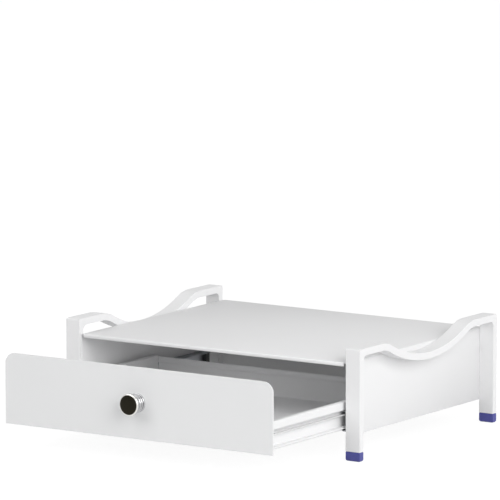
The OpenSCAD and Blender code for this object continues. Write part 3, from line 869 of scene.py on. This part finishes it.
zinc_slide = bare_metal("zinc on rolled strip", (0.30, 0.31, 0.33), (0.52, 0.53, 0.56),
                        roughness=0.34, stretch=(2500.0, 12.0, 2500.0), relief=0.015 * MM)
zinc_screw = bare_metal("zinc on screws", (0.42, 0.43, 0.45), (0.66, 0.67, 0.69),
                        roughness=0.30, stretch=(900.0, 900.0, 900.0), relief=0.01 * MM)
cage_steel = bare_metal("oiled cage steel", (0.16, 0.16, 0.17), (0.30, 0.30, 0.31),
                        roughness=0.38, stretch=(1800.0, 20.0, 1800.0), relief=0.01 * MM)
ball_steel = bare_metal("bearing balls", (0.62, 0.62, 0.64), (0.74, 0.74, 0.75),
                        roughness=0.14, stretch=(300.0, 300.0, 300.0), relief=0.002 * MM)

# %% [markdown]
# ### Black buffers
# The buffers at the slides' rear ends are soft moulded plastic, matt and slightly uneven.

# %% Black plastic
buffer_material = skin_material("black moulded plastic",
                                low=(0.012, 0.012, 0.013), high=(0.030, 0.030, 0.031),
                                roughness=0.55, relief=0.05 * MM, Peel_Scale=1500.0)

# %% [markdown]
# ## Dress every piece
# One table says which finish goes on which new piece, a second one on which solid. The
# solids that are right as they are keep their shape and only change their material.

# %% Assign the finishes
def dress(piece, material):
    piece.data.materials.clear()
    piece.data.materials.append(material)


for material, pieces in ((coat_tube, side_frames), (coat_sheet, [case, tray]),
                         (coat_front, [front]), (cap_material, caps),
                         (knob_material, [knob, backplate])):
    for piece in pieces:
        dress(piece, material)

FINISHES = (
    (coat_sheet, ("back_panel", "drawer_member", "drawer_rivets")),
    (zinc_slide, ("cabinet_member",)),
    (zinc_screw, ("cabinet_rivets", "frame_screws", "front_studs", "front_nuts",
                  "knob_screw", "knob_washer")),
    (buffer_material, ("slide_buffer",)),
    (cage_steel, ("ball_cage",)),
    (ball_steel, ("slide_balls",)),
)
for name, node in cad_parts.items():
    for material, starts in FINISHES:
        if name.startswith(starts):
            dress(node, material)
            print(f"{name}: {material.name}")

# %% [markdown]
# ## Floor and backdrop
# The studio is a white sweep. Its floor is a plain pale surface that keeps the stand's soft
# shadow. A really white floor would throw too much light up at the coat, so Light Path
# tells the rays apart: the floor glows for the camera and in the knob, and stays pale for
# the rays that light the stand. The world uses the same switch. It is a function and no
# group, because Light Path has to stay in the tree that it serves.

# %% Tell the rays apart
def seen_directly(tree):
    """1 for camera, glossy and transmission rays, 0 for the rays that light other things."""
    path = tree.nodes.new("ShaderNodeLightPath")
    seen = path.outputs["Is Camera Ray"]
    for ray in ("Is Glossy Ray", "Is Transmission Ray"):
        seen = math_node(tree, "MAXIMUM", seen, path.outputs[ray])
    return seen


# %% [markdown]
# The floor is one large square. Where it is seen directly, most of what it shows is its
# own even glow, and the rest is its lit surface, which brings the soft shadow.

# %% Build the floor
FLOOR_R = 12.0
FLOOR_GREY = (0.80, 0.80, 0.80)
LIGHT = (1.0, 1.0, 1.0)
GLOW = 1.16
GLOW_SHARE = 0.80
floor_corners = [(x * FLOOR_R, y * FLOOR_R, 0.0) for x, y in ((-1, -1), (1, -1), (1, 1), (-1, 1))]
floor_mesh = bpy.data.meshes.new("studio floor")
floor_mesh.from_pydata(floor_corners, [], [(0, 1, 2, 3)])
floor = bpy.data.objects.new("studio_floor", floor_mesh)
bpy.context.scene.collection.objects.link(floor)
floor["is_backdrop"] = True

floor_material, tree, shader, _ = new_material("pale floor", roughness=0.9, specular=0.1)
feed(tree, shader.inputs["Base Color"], FLOOR_GREY)
glow = tree.nodes.new("ShaderNodeEmission")
feed(tree, glow.inputs["Color"], LIGHT)
feed(tree, glow.inputs["Strength"], GLOW)
both = tree.nodes.new("ShaderNodeMixShader")
glow_share = math_node(tree, "MULTIPLY", seen_directly(tree), GLOW_SHARE)
for i, value in enumerate((glow_share, shader.outputs["BSDF"], glow.outputs["Emission"])):
    feed(tree, both.inputs[i], value)
output = next(n for n in tree.nodes if n.type == "OUTPUT_MATERIAL")
feed(tree, output.inputs["Surface"], both.outputs["Shader"])
dress(floor, floor_material)

# %% [markdown]
# ## Light
# The world gives an even light from everywhere, as a white room does. It is white where
# it is seen and dimmer where it lights, so that the lamps can still shape the stand.

# %% Light the world
AMBIENT = 0.40
world = bpy.data.worlds.new("studio")
world.use_nodes = True
bpy.context.scene.world = world
tree = world.node_tree
background = next(n for n in tree.nodes if n.type == "BACKGROUND")
strength = math_node(tree, "MULTIPLY_ADD", seen_directly(tree), 1.0 - AMBIENT, AMBIENT)
feed(tree, background.inputs["Color"], LIGHT)
feed(tree, background.inputs["Strength"], strength)
print("world strength:", AMBIENT, "where it lights, 1.0 where it is seen")

# %% [markdown]
# Four large, far lamps shape the light: the key from the right makes the side wall
# brighter than the front, one behind it carries that light to the rear, one high on the
# left fills the front, and a weak one lights the shelf. Large lamps give soft shadows, and
# their powers were fitted to the photograph's brightness.

# %% Hang the lamps
STAND = (0.0, 0.0, 0.1)
LAMPS = (                   # name, place, aim, width in metres, power in watts
    ("key lamp", (5.0, -2.6, 2.6), STAND, 4.0, 215.0),
    ("rear lamp", (4.8, 3.2, 1.8), STAND, 4.0, 45.0),
    ("fill lamp", (-2.4, -4.7, 3.8), STAND, 4.0, 94.0),
    ("top lamp", (0.0, -1.6, 2.6), (0.0, -0.1, 0.1), 2.4, 6.0),
)
for name, place, aim, width, power in LAMPS:
    data = bpy.data.lights.new(name, "AREA")
    data.shape = "SQUARE"
    data.size = width
    data.energy = power
    lamp = bpy.data.objects.new(name, data)
    lamp.location = place
    lamp.rotation_euler = (Vector(aim) - Vector(place)).to_track_quat("-Z", "Y").to_euler()
    bpy.context.scene.collection.objects.link(lamp)
    print(f"{name}: {power:.0f} W")

# %% [markdown]
# ## Camera
# The photograph was taken from about 33 degrees to the right and 9 degrees down, from far
# away, so parallel edges hardly converge. Those angles and the distance give the place of
# the camera, and a long lens brings the stand back to its size in the frame.

# %% Place the camera
YAW = math.radians(33.32)
PITCH = math.radians(8.65)
DISTANCE = 7.397
TARGET = Vector((-0.0357, -0.0250, 0.2404))
FOCAL_PX = 5460.8
FRAME_PX = 500
SENSOR_MM = 36.0
FAR_CLIP = 100.0
level = math.cos(PITCH)
back = Vector((math.sin(YAW) * level, -math.cos(YAW) * level, math.sin(PITCH)))
camera_data = bpy.data.cameras.new("portrait")
camera_data.sensor_width = SENSOR_MM
camera_data.lens = SENSOR_MM * FOCAL_PX / FRAME_PX
camera_data.clip_end = FAR_CLIP
camera = bpy.data.objects.new("portrait", camera_data)
camera.location = TARGET + back * DISTANCE
camera.rotation_euler = back.to_track_quat("Z", "Y").to_euler()
bpy.context.scene.collection.objects.link(camera)
bpy.context.scene.camera = camera
bpy.context.scene.view_settings.view_transform = "Standard"
print("camera at", [round(v, 3) for v in camera.location])

# %% [markdown]
# ## Compare the size
# The dressed model has to stay inside the solids' box, so the largest difference between
# the two boxes is printed.

# %% Print the size difference
seen_low, seen_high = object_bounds()
differences = [abs(a - b) for a, b in zip([*cad_low, *cad_high], [*seen_low, *seen_high])]
print("largest difference in mm:", round(max(differences) / MM, 3))
